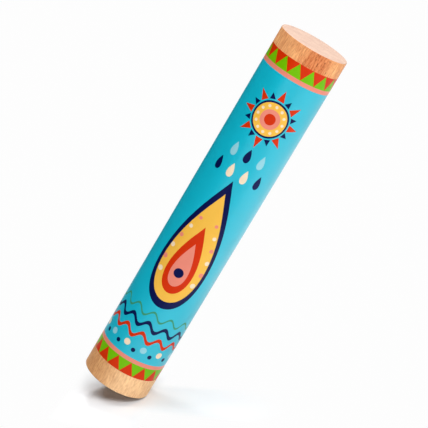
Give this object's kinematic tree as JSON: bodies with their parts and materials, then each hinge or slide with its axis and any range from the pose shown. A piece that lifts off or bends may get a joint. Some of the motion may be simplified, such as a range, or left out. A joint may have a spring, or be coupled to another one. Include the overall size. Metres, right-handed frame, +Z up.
{
  "type": "rain stick",
  "caption": "Hand-held rain stick: a printed cardboard tube with wooden end caps, in which loose steel beads trickle past a helix of nails when it is turned over.",
  "frame": {"origin": "centre of the bottom cap's outer face, which the stick stands on", "axes": "+Z up along the axis of the stick to the top cap, -Y towards the front of the print, +Y towards the seam of the wrap"},
  "size_m": [0.05, 0.0502, 0.278],
  "materials": {
    "board": "spirally wound solid kraft board",
    "printed_paper": "colour print with a satin varnish",
    "beech": "turned, sanded and lightly lacquered",
    "nail_steel": "drawn bright wire",
    "bead_steel": "tumbled"
  },
  "bodies": {
    "stick": {"tube": "board", "printed_wrap": "printed_paper", "top_cap": "beech", "bottom_cap": "beech", "nail_turn_1": "nail_steel", "nail_turn_2": "nail_steel", "nail_turn_3": "nail_steel", "nail_turn_4": "nail_steel", "nail_turn_5": "nail_steel", "nail_turn_6": "nail_steel"},
    "beads_1": {"bead_lane_1": "bead_steel"},
    "beads_2": {"bead_lane_2": "bead_steel"},
    "beads_3": {"bead_lane_3": "bead_steel"},
    "beads_4": {"bead_lane_4": "bead_steel"},
    "beads_5": {"bead_lane_5": "bead_steel"},
    "beads_6": {"bead_lane_6": "bead_steel"},
    "beads_7": {"bead_lane_7": "bead_steel"},
    "beads_8": {"bead_lane_8": "bead_steel"},
    "beads_9": {"bead_lane_9": "bead_steel"},
    "beads_10": {"bead_lane_10": "bead_steel"},
    "beads_11": {"bead_lane_11": "bead_steel"},
    "beads_12": {"bead_lane_12": "bead_steel"},
    "beads_core": {"bead_core": "bead_steel"}
  },
  "joints": [
    {"name": "fall_1", "type": "slide", "parent": "stick", "child": "beads_1", "axis": [0, 0, 1], "range_m": [0, 0.2108]},
    {"name": "fall_2", "type": "slide", "parent": "stick", "child": "beads_2", "axis": [0, 0, 1], "range_m": [0, 0.2108]},
    {"name": "fall_3", "type": "slide", "parent": "stick", "child": "beads_3", "axis": [0, 0, 1], "range_m": [0, 0.2108]},
    {"name": "fall_4", "type": "slide", "parent": "stick", "child": "beads_4", "axis": [0, 0, 1], "range_m": [0, 0.2108]},
    {"name": "fall_5", "type": "slide", "parent": "stick", "child": "beads_5", "axis": [0, 0, 1], "range_m": [0, 0.2108]},
    {"name": "fall_6", "type": "slide", "parent": "stick", "child": "beads_6", "axis": [0, 0, 1], "range_m": [0, 0.2108]},
    {"name": "fall_7", "type": "slide", "parent": "stick", "child": "beads_7", "axis": [0, 0, 1], "range_m": [0, 0.2108]},
    {"name": "fall_8", "type": "slide", "parent": "stick", "child": "beads_8", "axis": [0, 0, 1], "range_m": [0, 0.2108]},
    {"name": "fall_9", "type": "slide", "parent": "stick", "child": "beads_9", "axis": [0, 0, 1], "range_m": [0, 0.2108]},
    {"name": "fall_10", "type": "slide", "parent": "stick", "child": "beads_10", "axis": [0, 0, 1], "range_m": [0, 0.2108]},
    {"name": "fall_11", "type": "slide", "parent": "stick", "child": "beads_11", "axis": [0, 0, 1], "range_m": [0, 0.2108]},
    {"name": "fall_12", "type": "slide", "parent": "stick", "child": "beads_12", "axis": [0, 0, 1], "range_m": [0, 0.2108]},
    {"name": "fall_core", "type": "slide", "parent": "stick", "child": "beads_core", "axis": [0, 0, 1], "range_m": [0, 0.2108]}
  ]
}
